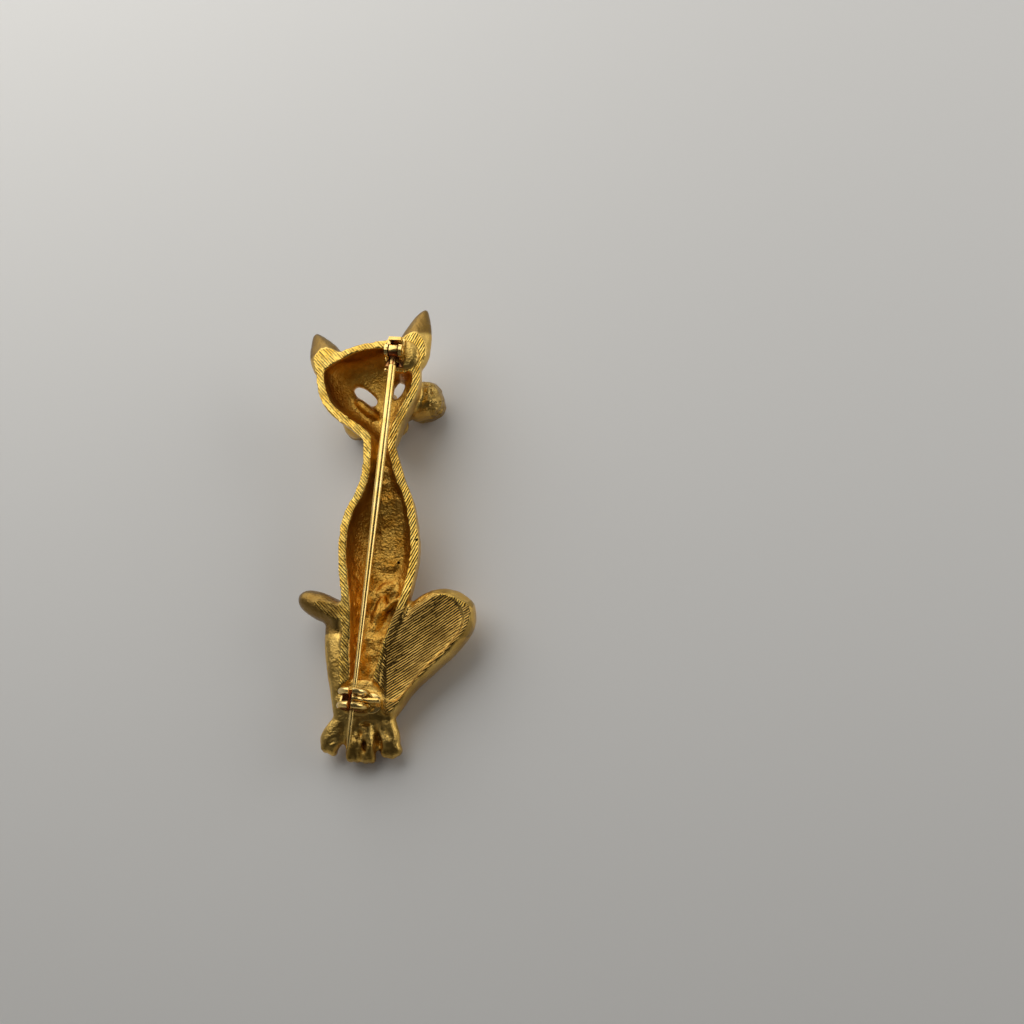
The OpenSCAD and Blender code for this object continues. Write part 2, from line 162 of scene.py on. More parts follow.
def read(mesh, what, items=None):
    """One row of three numbers for each point of the mesh, or for each of its items."""
    items = items or mesh.vertices
    out = np.empty(len(items) * 3)
    items.foreach_get(what, out)
    return out.reshape(-1, 3)


def put_points(mesh, co):
    mesh.vertices.foreach_set("co", co.ravel())
    mesh.update()


def note(mesh, name, values, domain="POINT", kind="FLOAT"):
    """Writes a value for each point, or a place in mm, for the material to read."""
    layer = mesh.attributes.new(name, kind, domain)
    layer.data.foreach_set("vector" if kind == "FLOAT_VECTOR" else "value",
                           np.asarray(values, np.float32).ravel())


def remesh(piece, voxel, rounds):
    """Gives the piece one even fine skin and softens it."""
    step = piece.modifiers.new("skin", "REMESH")
    step.mode, step.voxel_size, step.adaptivity = "VOXEL", voxel, 0
    step = piece.modifiers.new("soften", "SMOOTH")
    step.factor, step.iterations = 0.5, rounds
    settle(piece)


# The casting's solid is copied into the relief's frame, its filed back drawn up past
# the rim plane, and remeshed fine so that every form can be softened as a casting is.
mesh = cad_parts["cat_casting"].data.copy()
mesh.materials.clear()
mesh.transform(relief.inverted())
form = bmesh.new()
form.from_mesh(mesh)
bmesh.ops.remove_doubles(form, verts=form.verts, dist=1e-4)
form.normal_update()
flat = [f for f in form.faces if f.normal.z > 0.999 and abs(f.calc_center_median().z) < 0.01]
lifted = bmesh.ops.extrude_face_region(form, geom=flat)["geom"]
bmesh.ops.translate(form, vec=(0, 0, rim_rise),
                    verts=[g for g in lifted if isinstance(g, bmesh.types.BMVert)])
form.to_mesh(mesh)
form.free()
cat = new_piece("cast_cat", mesh)
remesh(cat, fine_skin, 3)

# Metal added, as centre, half sizes and turn. In the hollow: a ridge below the left eye,
# ribs across the neck and folds on the floor of the body. At the rim: the knee runs into
# the flank, and the forepaws have square backs
added = [((-2.7, 45.6, -5.0), (2.3, 0.75, 1.3), -43),
         ((-5.0, 17.4, -1.3), (1.4, 1.9, 1.2), 0),
         ((0.3, 37.9, -2.45), (1.5, 0.35, 0.6), 5),
         ((0.4, 36.3, -2.5), (1.4, 0.3, 0.6), -4),
         ((0.2, 34.7, -2.85), (1.4, 0.32, 0.6), 3),
         ((-1.0, 25.6, -4.95), (1.05, 1.3, 0.55), 0),
         ((-0.1, 21.3, -4.8), (2.2, 1.1, 0.7), 32),
         ((-1.0, 17.4, -4.0), (0.92, 3.3, 1.0), -14),
         ((0.9, 19.4, -4.0), (0.4, 2.6, 1.0), -52),
         ((-2.87, 2.1, -1.3), (0.55, 0.75, 0.6), 12),
         ((-1.2, 1.8, -1.4), (0.4, 1.1, 0.6), -6)]
for at, size, turn in added:
    cut(cat, ball(at, size, turn), "UNION")
# Metal taken off: a dip behind the nose, the gaps between the toes and the legs, and the
# graver's strokes across the hind paws
taken = [((-1.27, 44.1, -6.4), (1.5, 1.3, 1.1), 0),
         ((-2.05, 1.75, -1.3), (0.26, 1.2, 1.1), 4),
         ((-4.0, 2.2, -1.3), (0.3, 1.3, 1.0), -24),
         ((-0.2, 2.2, -1.2), (0.34, 1.4, 1.1), 14),
         ((0.75, 3.0, -0.75), (0.4, 1.3, 0.6), 34),
         ((-1.4, 4.3, -0.9), (1.7, 0.3, 0.4), 3),
         ((-1.6, 3.5, -1.1), (1.4, 0.22, 0.4), -6),
         ((-5.9, 2.35, -0.9), (0.9, 0.3, 0.7), 20)]
for at, size, turn in taken:
    cut(cat, ball(at, size, turn))
for k in range(6):
    left_stroke = (-6.3 + 0.42 * k, 3.1 + 0.31 * k, -0.85)
    right_stroke = (0.2 + 0.33 * k, 5.0 - 0.62 * k, -0.75)
    cut(cat, ball(left_stroke, (0.13, 0.75, 0.55), -28, rings=8))
    cut(cat, ball(right_stroke, (0.75, 0.12, 0.45), 24, rings=8))

# The toes: two or three small rolls at the tip of every paw, as a centre and a half width
toes = [((-7.05, 1.9, -2.4), 0.62), ((-6.2, 1.45, -2.6), 0.62), ((-3.95, 0.55, -2.3), 0.5),
        ((-3.15, 0.5, -2.3), 0.5), ((-2.1, 0.35, -2.5), 0.5), ((-1.3, 0.35, -2.5), 0.5),
        ((0.35, 0.95, -2.4), 0.58), ((1.15, 0.8, -2.5), 0.6), ((1.95, 1.15, -2.4), 0.56)]
for at, half_wide in toes:
    cut(cat, ball(at, (half_wide, 0.75, 1.05)), "UNION")

# The face: raised lids round the pierced eyes and a parted mouth
skin_tree = bvhtree.BVHTree.FromObject(cat, bpy.context.evaluated_depsgraph_get())


def laid_on(path):
    """The points on the front of the skin under a path in the head's frame."""
    line = []
    for x, y in path:
        start = head @ Vector((x, y, -14))
        hit = skin_tree.ray_cast(start, Vector((0, 0, 1)), 20)[0]
        # A point that falls past the face or through an eye is left out
        if hit is not None and (not line or abs(hit.z - line[-1].z) < 0.8):
            line.append(hit)
    return line


def tube(line, radius, sides=10, closed=False):
    """A round cord through points, closed on itself or with flat ends."""
    count, rings = len(line), []
    for i, p in enumerate(line):
        ahead = line[(i + 1) % count] if closed else line[min(i + 1, count - 1)]
        behind = line[i - 1] if closed else line[max(i - 1, 0)]
        along = (ahead - behind).normalized()
        side = along.cross(Vector((0, 0, 1))).normalized()
        up = side.cross(along)
        rings.append([p + radius * (math.cos(a) * side + math.sin(a) * up)
                      for a in (2 * math.pi * k / sides for k in range(sides))])
    form = bmesh.new()
    rows = [[form.verts.new(p) for p in ring] for ring in rings]
    for i in range(count if closed else count - 1):
        low, high = rows[i], rows[(i + 1) % count]
        for k in range(sides):
            form.faces.new((low[k], low[(k + 1) % sides], high[(k + 1) % sides], high[k]))
    if not closed:
        form.faces.new(rows[0][::-1])
        form.faces.new(rows[-1])
    return from_bmesh("tube", form)


cord_r, lid_wide, lid_high = 0.3, 2.35, 1.22
for side in (-1, 1):
    tilt = side * math.radians(52)
    middle = Vector(((0.048 + side * 0.174) * head_wide, 0.07 * head_long))
    lid = []
    for k in range(28):
        a = 2 * math.pi * k / 28
        x, y = lid_wide * math.cos(a), lid_high * math.sin(a)
        lid.append((middle.x + x * math.cos(tilt) - y * math.sin(tilt),
                    middle.y + x * math.sin(tilt) + y * math.cos(tilt)))
    cut(cat, tube(laid_on(lid), cord_r, closed=True), "UNION")
mouth = [(face_x + 0.25 * math.sin(k), -0.8 - 0.55 * k) for k in range(6)]
cut(cat, tube(laid_on(mouth), cord_r))
# The crown's rim was built up thick and arched
crown = [(-7.0, 50.1), (-5.9, 50.8), (-4.6, 51.45), (-3.5, 51.95), (-2.0, 52.28),
         (-0.6, 52.42), (0.9, 52.45)]
cut(cat, tube([Vector((x, y, -0.3)) for x, y in crown], 0.56, 16), "UNION")
# The ears are hollowed in front
cut(cat, ball((-5.2, 6.7, -3.5), (1.1, 2.3, 1.0), 11, head))
cut(cat, ball((7.15, 5.5, -3.6), (1.1, 2.5, 1.0), -25, head))
remesh(cat, fine_skin, 2)

# Hand finishing leaves no true curve: slow hollows and swells all over, rough edges
# where the file broke out, and whisker pads that are chased all over. The floor of the
# hollow keeps the crumpled skin of the wax.
pads = [head @ Vector((face_x + side * 4.3, -0.10 * head_long, 2.75 - pad_depth))
        for side in (-1, 1)]
pad_reach = (2.7, 2.7, 3.1)


def on_pads(co):
    """How far each point belongs to a whisker pad's outside, from 0 to 1."""
    near = np.min([np.linalg.norm((co - np.array(p)) / pad_reach, axis=1) for p in pads],
                  axis=0)
    aside = (co - np.array(head_at)) @ np.array(head.to_3x3().col[0])
    return np.clip((1.3 - near) / 0.15, 0, 1) * ((aside > 5.9) | (co[:, 2] < -6.9))


def wander(co, size):
    """A smooth random height for each point, with waves of about one over the size."""
    return np.array([noise.noise(Vector(p) * size) for p in co])


co, out = read(cat.data, "co"), read(cat.data, "normal")
on_floor = ((out[:, 2] > 0.2) & (co[:, 2] < -1.6) & (np.abs(co[:, 0]) < 5.5)
            & (co[:, 1] > 7) & (co[:, 1] < 43))
low_floor = on_floor * np.clip((25 - co[:, 1]) / 3, 0, 1)
rough_floor = on_floor * np.clip((co[:, 0] + 1.4) / 1.2, 0.15, 1)
near_rim = np.exp(-(co[:, 2] / 0.35) ** 2)
swell = wander(co, 0.55) * 0.08 + wander(co, 1.6) * 0.035 + wander(co, 4.2) * 0.012
burr = (wander(co, 2.2) + 0.7 * wander(co, 5.1)) * near_rim * 0.11
lumps = wander(co, 1.5) * on_pads(co) * 0.22
creases = np.array([noise.ridged_multi_fractal(Vector(p) * 0.5, 1.0, 2.0, 3, 1.0, 2.0) - 1
                    for p in co])
floor_skin = low_floor * creases * 0.24 + rough_floor * wander(co, 3.2) * 0.13
put_points(cat.data, co + out * (swell + burr + lumps + floor_skin)[:, None])

# The back is filed flat across at the rim plane; the right haunch is filed to a dished
# facet that leans outwards, and the left one slopes away below its ridge
haunch = rounded([(3.1, 18.2), (6.44, 19.6), (9.4, 18.85), (10.6, 16.5), (9.2, 13.8),
                  (5.6, 10.5), (2.2, 6.8), (0.2, 8.0), (0.7, 12.6), (1.7, 16.4)])
haunch_turn, leaf_turn = math.radians(38), math.radians(-43)
haunch_lean = (Matrix.Translation((3.0, 16.0, 0)) @ Matrix.Rotation(haunch_turn, 4, "Z")
               @ Matrix.Rotation(math.radians(3.5), 4, "X")
               @ Matrix.Rotation(-haunch_turn, 4, "Z") @ Matrix.Translation((-3.0, -16.0, 0)))
leaf_lean = (Matrix.Translation((-7.1, 18.6, -0.05)) @ Matrix.Rotation(leaf_turn, 4, "Z")
             @ Matrix.Rotation(math.radians(-30), 4, "X"))
cut(cat, block((-20, -5, 0), (20, 62, 12)))
cut(cat, dish(haunch, 0.36, haunch_lean))
cut(cat, block((-4.6, -4, 0), (4.2, 0, 4), leaf_lean))
remesh(cat, rim_skin, 2)
# Three small pits that the casting left
for at in ((4.85, 26.6, -0.4), (1.65, 24.9, -4.6), (-4.6, 33.1, 0)):
    cut(cat, ball(at, (0.24, 0.24, 0.6), rings=8))

# What each point of the skin sees: how far it is inside the hollow, and how much of the
# sky near it is cut off; both are painted into the colour as shade
co, out = read(cat.data, "co"), read(cat.data, "normal")
tree = bvhtree.BVHTree.FromPolygons(co.tolist(), [p.vertices[:] for p in cat.data.polygons])
six_ways = np.arange(6) * math.pi / 3
around = [Vector((math.cos(a), math.sin(a), 0.25)) for a in six_ways]
leaning = [Vector((math.cos(a) * 0.8, math.sin(a) * 0.8, 0.6)) for a in six_ways]


def share_hit(start, ways, reach):
    """The share of the ways along which the skin is met within a reach in mm."""
    return sum(tree.ray_cast(start, way, reach)[0] is not None for way in ways) / len(ways)


hollow, blocked = np.zeros(len(co)), np.zeros(len(co))
for i, (p, n) in enumerate(zip(co, out)):
    start, turn = Vector(p + 0.05 * n), Vector((0, 0, 1)).rotation_difference(Vector(n))
    if p[2] < -0.02:
        hollow[i] = share_hit(start, around, 14)
        blocked[i] = share_hit(start, [turn @ way for way in leaning], 2.5)
face_out = read(cat.data, "normal", cat.data.polygons)
face_at = read(cat.data, "center", cat.data.polygons)
flush = (face_out[:, 2] > 0.93) & (face_at[:, 2] > -0.07)


def faces_on(place, reach):
    """The faces that lie in a tool's cutting plane, within a reach below and above it."""
    flat_out = np.array(place.to_3x3() @ Vector((0, 0, 1)))
    height = (face_at - np.array(place.translation)) @ flat_out
    return (face_out @ flat_out > 0.93) & (height > -reach) & (height < 0.03)


# A face is inside the haunch's outline if a line from it to the right crosses it an odd
# number of times. The fold where the thigh meets the body is filed along with it
edge = np.array([p[:2] for p in haunch])
beyond = np.roll(edge, -1, axis=0)
x, y = face_at[:, 0:1], face_at[:, 1:2]
slant = (beyond[:, 0] - edge[:, 0]) / (beyond[:, 1] - edge[:, 1] + 1e-9)
crossing = ((edge[:, 1] > y) != (beyond[:, 1] > y)) & (x < edge[:, 0] + (y - edge[:, 1]) * slant)
on_haunch = (crossing.sum(axis=1) % 2 == 1) & (face_out[:, 2] > 0.85) & (face_at[:, 2] > -1.4)
fold_x = 2.05 - 0.274 * (17.9 - face_at[:, 1])
on_fold = flush & (face_at[:, 0] > fold_x) & (face_at[:, 1] < 18)
on_leaf = faces_on(leaf_lean, 0.12) & (face_at[:, 0] < -3) & (face_at[:, 1] > 13)
hatched = on_haunch | on_fold | on_leaf
# Painted shade on the backs of the ears and on the pads; the legs and the left knee are darkened
# too
above_brow = co[:, 1] - 52.45 - 0.155 * co[:, 0]
on_ears = np.clip(above_brow / 0.5, 0, 1) * (co[:, 2] < -0.1)
on_legs = np.clip((21 - co[:, 1]) / 2, 0, 1) * (hollow < 0.5)
on_knee = np.clip((-4.6 - co[:, 0]) / 0.5, 0, 1) * (np.abs(co[:, 1] - 18.5) < 3)
for dulled, where in ((0.9, on_ears), (0.6, on_legs), (0.62, on_pads(co)), (0.9, on_knee)):
    blocked = np.maximum(blocked, dulled * where)
note(cat.data, "hollow", hollow)
note(cat.data, "blocked", blocked)
note(cat.data, "chased", on_pads(co))
note(cat.data, "drawn", co, kind="FLOAT_VECTOR")
note(cat.data, "filed", (flush & ~hatched).astype(float), domain="FACE")
note(cat.data, "hatched", hatched.astype(float), domain="FACE")
cat.data.materials.clear()
for polygon in cat.data.polygons:
    polygon.use_smooth = True
    polygon.material_index = 0
cat.data.set_sharp_from_angle(angle=math.radians(38))


class Nodes:
    """A short way to write nodes: i0=... sets or links the node's input number 0, and
    From_Min=... its input of the name From Min."""

    def __init__(self, tree):
        self.tree = tree

    def __call__(self, kind, settings=None, **inputs):
        node = self.tree.nodes.new("ShaderNode" + kind)
        for name, value in (settings or {}).items():
            setattr(node, name, value)
        for name, value in inputs.items():
            socket = node.inputs[int(name[1:]) if name[1:].isdigit() else name.replace("_", " ")]
            if isinstance(value, bpy.types.NodeSocket):
                self.tree.links.new(value, socket)
            else:
                socket.default_value = value
        return node

    def blend(self, share, low, high):
        """Low where the share is 0 and high where it is 1, for two colours."""
        return self("Mix", {"data_type": "RGBA"}, i0=share, i6=low, i7=high).outputs[2]

    def between(self, share, low, high):
        """Low where the share is 0 and high where it is 1, for two numbers."""
        return self("Mix", {"data_type": "FLOAT"}, i0=share, i2=low, i3=high).outputs[0]


def shader_group(name, inputs, outputs):
    """An empty node group with named sockets, each given as name: (kind, value)."""
    group = bpy.data.node_groups.new(name, "ShaderNodeTree")
    for key, (kind, value) in inputs.items():
        socket = group.interface.new_socket(key, in_out="INPUT",
                                            socket_type="NodeSocket" + kind)
        if value is not None:
            socket.default_value = value
    for key, kind in outputs.items():
        group.interface.new_socket(key, in_out="OUTPUT", socket_type="NodeSocket" + kind)
    return (group, Nodes(group), group.nodes.new("NodeGroupInput"),
            group.nodes.new("NodeGroupOutput"))


# Marks left by a file: even grooves side by side at one angle, uneven in depth
file_marks, n, given, gives = shader_group(
    "file_marks",
    {"Place": ("Vector", None), "Angle": ("Float", 0.0), "Pitch": ("Float", 0.3)},
    {"Height": "Float"})
turned = n("VectorRotate", {"rotation_type": "Z_AXIS"}, Vector=given.outputs["Place"],
           Angle=given.outputs["Angle"])
shrink = n("Math", {"operation": "DIVIDE"}, i0=1.0, i1=given.outputs["Pitch"])
across = n("VectorMath", {"operation": "SCALE"}, i0=turned.outputs[0], Scale=shrink.outputs[0])
# A wave texture of scale 0.314 (pi / 10) makes one band for each unit of length
groove = n("TexWave", {"bands_direction": "Y"}, Vector=across.outputs[0], Scale=0.314,
           Distortion=0.9, Detail=1.0, Detail_Scale=1.4, Detail_Roughness=0.5)
stretched = n("VectorMath", {"operation": "MULTIPLY"}, i0=across.outputs[0], i1=(0.16, 0.7, 0.3))
streak = n("TexNoise", Vector=stretched.outputs[0], Scale=1.0, Detail=2.0, Roughness=0.6)
streak = n("MapRange", Value=streak.outputs[0], From_Min=0.35, From_Max=0.65)
uneven = n.between(0.55, groove.outputs["Fac"], streak.outputs[0])
file_marks.links.new(uneven, gives.inputs["Height"])

# Gilding is never one tone: it runs from pale to deep, and dull specks are given out as a mask
gilding, n, given, gives = shader_group(
    "gilding", {"Place": ("Vector", None), "Pale": ("Color", (1, 0.8, 0.4, 1)),
                "Deep": ("Color", (0.7, 0.4, 0.1, 1)), "Size": ("Float", 1.0)},
    {"Color": "Color", "Dulled": "Float"})
shrink = n("Math", {"operation": "DIVIDE"}, i0=1.0, i1=given.outputs["Size"])
place = n("VectorMath", {"operation": "SCALE"}, i0=given.outputs["Place"],
          Scale=shrink.outputs[0])
cloud = n("TexNoise", Vector=place.outputs[0], Scale=0.5, Detail=4.0, Roughness=0.6)
cloud = n("MapRange", Value=cloud.outputs[0], From_Min=0.35, From_Max=0.65)
speck = n("TexNoise", Vector=place.outputs[0], Scale=2.4, Detail=3.0, Roughness=0.7)
speck = n("MapRange", Value=speck.outputs[0], From_Min=0.56, From_Max=0.74)
tone = n.blend(cloud.outputs[0], given.outputs["Pale"], given.outputs["Deep"])
gilding.links.new(tone, gives.inputs["Color"])
gilding.links.new(speck.outputs[0], gives.inputs["Dulled"])


def use_group(n, group, **inputs):
    node = n.tree.nodes.new("ShaderNodeGroup")
    node.node_tree = group
    for name, value in inputs.items():
        if isinstance(value, bpy.types.NodeSocket):
            n.tree.links.new(value, node.inputs[name])
        else:
            node.inputs[name].default_value = value
    return node


def new_material(name):
    material = bpy.data.materials.new(name)
    material.use_nodes = True
    n = Nodes(material.node_tree)
    return material, n, material.node_tree.nodes["Principled BSDF"]


gilt, n, skin = new_material("gilt_casting")
drawn = n("Attribute", {"attribute_name": "drawn"}).outputs["Vector"]
hollow, blocked, filed, hatched, chased = (
    n("Attribute", {"attribute_name": name}).outputs["Fac"]
    for name in ("hollow", "blocked", "filed", "hatched", "chased"))
outside = use_group(n, gilding, Place=drawn, Size=1.6,
                    Pale=(0.86, 0.58, 0.16, 1), Deep=(0.62, 0.38, 0.08, 1))
# Painted shade: a darker, deeper tone for the skin far inside the hollow
inside = use_group(n, gilding, Place=drawn, Size=1.1,
                   Pale=(0.83, 0.50, 0.10, 1), Deep=(0.52, 0.25, 0.03, 1))
bright = use_group(n, gilding, Place=drawn, Size=0.8,
                   Pale=(0.98, 0.68, 0.17, 1), Deep=(0.84, 0.50, 0.08, 1))
# Hatched facets: worn gilding, made darker still as painted shade for the dark room they reflect
worn = use_group(n, gilding, Place=drawn, Size=2.4,
                 Pale=(0.80, 0.51, 0.13, 1), Deep=(0.46, 0.28, 0.06, 1))
# The right half of the rim was filed the other way, and the haunch at an angle of its
# own. Pitches are in mm
across_x = n("SeparateXYZ", i0=drawn).outputs[0]
right_side = n("MapRange", Value=across_x, From_Min=0.9, From_Max=1.1).outputs[0]
left_marks = use_group(n, file_marks, Place=drawn, Angle=math.radians(50), Pitch=0.3)
right_marks = use_group(n, file_marks, Place=drawn, Angle=math.radians(-60), Pitch=0.3)
haunch_marks = use_group(n, file_marks, Place=drawn, Angle=math.radians(-31), Pitch=0.28)
rim_marks = n.between(right_side, left_marks.outputs["Height"], right_marks.outputs["Height"])
hatch = n.between(right_side, left_marks.outputs["Height"], haunch_marks.outputs["Height"])
marks = n.between(hatched, rim_marks, hatch)
# The skin takes the darker inside tone the deeper it lies in the hollow: painted shade
deep = n("MapRange", Value=hollow, From_Min=0.4, From_Max=0.95)
skin_tone = n.blend(deep.outputs[0], outside.outputs["Color"], inside.outputs["Color"])
# Painted shade: the tone darkens along the grooves of the file marks
line = n("MapRange", Value=marks, From_Min=0.28, From_Max=0.62, To_Min=0.42, To_Max=1.0)
facet_tone = n.blend(hatched, bright.outputs["Color"], worn.outputs["Color"])
facet_tone = n("VectorMath", {"operation": "SCALE"}, i0=facet_tone, Scale=line.outputs[0])
facet = n("Math", {"operation": "MAXIMUM"}, i0=filed, i1=hatched).outputs[0]
tone = n.blend(facet, skin_tone, facet_tone.outputs[0])
# Punched dots on the whisker pads
dots = n("TexVoronoi", Vector=drawn, Scale=1.9, Randomness=0.6)
dot = n("MapRange", Value=dots.outputs["Distance"], From_Min=0.12, From_Max=0.42).outputs[0]
dot = n("Math", {"operation": "SUBTRACT"}, i0=1.0, i1=dot).outputs[0]
dot = n("Math", {"operation": "MULTIPLY"}, i0=dot, i1=chased).outputs[0]
# Painted shade: brown where the skin is sheltered and on the backs of the ears and the pads; the
# legs, the left knee and the punched dots are darkened to brown as well
shade_and_dulled_brown = (0.10, 0.045, 0.01, 1)
shade_and_dulled_share = n("MapRange", Value=blocked, From_Min=0.2, From_Max=0.9, To_Max=0.74).outputs[0]
dot_shade_and_dulled_share = n("Math", {"operation": "MULTIPLY"}, i0=dot, i1=0.6).outputs[0]
shade_and_dulled_share = n("Math", {"operation": "MAXIMUM"}, i0=shade_and_dulled_share, i1=dot_shade_and_dulled_share).outputs[0]
tone = n.blend(shade_and_dulled_share, tone, shade_and_dulled_brown)
grain = n("TexNoise", Vector=drawn, Scale=3.4, Detail=2.5, Roughness=0.6)
grain_deep = n.between(deep.outputs[0], 0.09, 0.16)
grain_height = n("MapRange", Value=grain.outputs[0], To_Min=0.0, To_Max=grain_deep).outputs[0]
dot_height = n("Math", {"operation": "MULTIPLY"}, i0=dot, i1=-0.14).outputs[0]
grain_height = n("Math", {"operation": "ADD"}, i0=grain_height, i1=dot_height).outputs[0]
mark_height = n("MapRange", Value=marks, To_Min=0.0, To_Max=0.06).outputs[0]
height = n.between(facet, grain_height, mark_height)
bump = n("Bump", Strength=1.0, Distance=0.001, Height=height)
rough = n.between(facet, 0.29, 0.26)
skin.inputs["Metallic"].default_value = 1.0
n.tree.links.new(tone, skin.inputs["Base Color"])
n.tree.links.new(rough, skin.inputs["Roughness"])
n.tree.links.new(bump.outputs[0], skin.inputs["Normal"])
cat.data.materials.append(gilt)
cat.data.transform(relief)
# It rests on small worn flats
resting = read(cat.data, "co")
resting[:, 2] = np.maximum(resting[:, 2], 0)
put_points(cat.data, resting)
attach(cat, "brooch")
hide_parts("cat_casting")

# The hinge: a strip of sheet brass folded up into two round-topped ears and a back
# flange, sweated with soft solder onto the cast boss behind the head. A bead of the
# solder ran out beside it.
hinge = (relief @ Matrix.Translation((0.1815 * head_wide, 0.892 * upright, 1.7))
         @ Matrix.Rotation(math.radians(-6.6), 4, "Z"))
hinge_wide, hinge_long, sheet, seat_drop = 2.2, 3.5, 0.42, 1.7
under = -seat_drop - 0.12     # the underside, sunk a little into the casting
ear_top, ear_mid, rivet_hole = 0.853, (hinge_wide - sheet) / 2, 0.33
past = 3                      # mm, further than any fitting reaches to either side
across = Matrix.Rotation(math.radians(90), 4, "Y")


def soften_edges(piece, width, steps=3, angle=30):
    """Rounds the sharp edges as polishing does."""
    step = piece.modifiers.new("edge", "BEVEL")
    step.width, step.segments, step.limit_method = width, steps, "ANGLE"
    step.angle_limit = math.radians(angle)
    settle(piece)
    for polygon in piece.data.polygons:
        polygon.use_smooth = True
    piece.data.set_sharp_from_angle(angle=math.radians(40))


def finish_piece(piece, name, place, body, material, painted_shaded=lambda x, y, z: 0 * x):
    """Names the piece, notes its own places and painted shade and sets it on its body."""
    co = read(piece.data, "co")
    note(piece.data, "drawn", co, kind="FLOAT_VECTOR")
    note(piece.data, "tarnish", painted_shaded(*co.T))
    piece.name = piece.data.name = name
    for polygon in piece.data.polygons:
        polygon.use_smooth = True
        polygon.material_index = 0
    piece.data.materials.clear()
    piece.data.materials.append(material)
    piece.data.transform(place)
    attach(piece, body)
    return piece


polished, n, skin = new_material("polished_gilt")
drawn = n("Attribute", {"attribute_name": "drawn"}).outputs["Vector"]
tones = use_group(n, gilding, Place=drawn, Size=0.7,
                  Pale=(0.97, 0.71, 0.27, 1), Deep=(0.86, 0.56, 0.15, 1))
dull = n("MapRange", Value=tones.outputs["Dulled"], To_Min=0.2, To_Max=0.4)
# Painted shade: dark red-brown where a piece is sheltered by the others
tarnish = n("Attribute", {"attribute_name": "tarnish"}).outputs["Fac"]
tone = n.blend(tarnish, tones.outputs["Color"], (0.24, 0.05, 0.015, 1))
skin.inputs["Metallic"].default_value = 1.0
n.tree.links.new(tone, skin.inputs["Base Color"])
n.tree.links.new(dull.outputs[0], skin.inputs["Roughness"])

folded = block((-hinge_wide / 2, -hinge_long / 2, under),
               (hinge_wide / 2, hinge_long / 2, -seat_drop + sheet))
flange = block((-0.36 * hinge_wide, hinge_long / 2 - sheet, -seat_drop),
               (0.36 * hinge_wide, hinge_long / 2, 0.35))
cut(folded, flange, "UNION")
for side in (-1, 1):
    low, high = side * ear_mid - sheet / 2, side * ear_mid + sheet / 2
    cut(folded, drum(ear_top, low, high, across), "UNION")
    cut(folded, block((low, -0.9, -seat_drop), (high, hinge_long / 2, -0.45)), "UNION")
    cut(folded, block((low, -hinge_long / 2, -seat_drop), (high, 0, -1.0)), "UNION")
cut(folded, drum(rivet_hole, -past, past, across))
soften_edges(folded, 0.1)
# Painted shade: the hinge's lower part is painted dark red-brown, most between the ears
finish_piece(folded, "folded_hinge", hinge, "brooch", polished,
             lambda x, y, z: (z < -0.9) * np.where(np.abs(x) < 0.72, 0.9, 0.7))

boss_x, boss_r = 0.92, 2.0
boss = lathe([(boss_r, under), (boss_r, -seat_drop + 0.02), (0.95 * boss_r, -seat_drop + 0.2),
              (0.8 * boss_r, -seat_drop + 0.36), (0.5 * boss_r, -seat_drop + 0.47),
              (0, -seat_drop + 0.5)], Matrix.Translation((boss_x, 0, 0)))
# The boss is darkened a little towards brown
note(boss.data, "blocked", np.full(len(boss.data.vertices), 0.25))
finish_piece(boss, "solder_boss", hinge, "brooch", gilt)
bead = ball((-1.06, -2.19, -1.28), (0.3, 0.28, 0.3))
finish_piece(bead, "solder_bead", hinge, "brooch", polished)

# The hinge rivet: a short brass pin through both ears and the stem's eye, its two ends
# peened over into low domes.
rivet_r, peen = 0.3, 0.14
reach = hinge_wide / 2 + 0.02
dome = [(1.55 * rivet_r, reach), (1.5 * rivet_r, reach + 0.5 * peen),
        (1.1 * rivet_r, reach + 0.85 * peen), (0, reach + peen)]
rivet = lathe([(r, -z) for r, z in dome[::-1]] + [(rivet_r, -reach), (rivet_r, reach)] + dome,
              across)
finish_piece(rivet, "rivet", hinge, "brooch", polished)
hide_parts("hinge_rivet")

# The pin stem: hard-drawn wire with a flattened root and a drilled eye, ground to a
# long taper and a fine point. It swings on the rivet.
stem_r, catch_r, stem_long, straight = 0.5, 0.26, 50.4, 19.5
eye_wide, eye_r, eye_hole = hinge_wide - 2 * sheet - 0.34, 0.78, 0.35
stem = drum(eye_r, -eye_wide / 2, eye_wide / 2, across)
cut(stem, drum(eye_hole, -past, past, across))
root_ends, root_slope = (0.4, 2.3), 0.16
root_section = ((-0.3, -0.5), (0.3, -0.5), (0.3, 0.25), (-0.3, 0.25))
root = loft([[(x, -y, z - root_slope * (y - root_ends[0])) for x, z in root_section]
             for y in root_ends])
cut(stem, root, "UNION")
along_y = Matrix.Rotation(math.radians(90), 4, "X")
wire = lathe([(0, 1.72), (0.3, 1.78), (0.44, 1.9), (stem_r, 2.1), (stem_r, straight),
              (0.5 * (stem_r + catch_r), 30.2), (catch_r, 41.8), (catch_r, stem_long - 1.6),
              (0.16, stem_long - 0.7), (0.06, stem_long)], along_y, 40)
cut(stem, wire, "UNION")
soften_edges(stem, 0.06, 2, 50)
# Painted shade: the stem's root by the eye and the underside of the eye are painted dark
# red-brown
finish_piece(stem, "stem", hinge, "stem", polished,
             lambda x, y, z: np.where(y < -0.35, 0.95 * (y > -1.75), 0.9 * (z < 0.2)))
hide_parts("pin_stem")

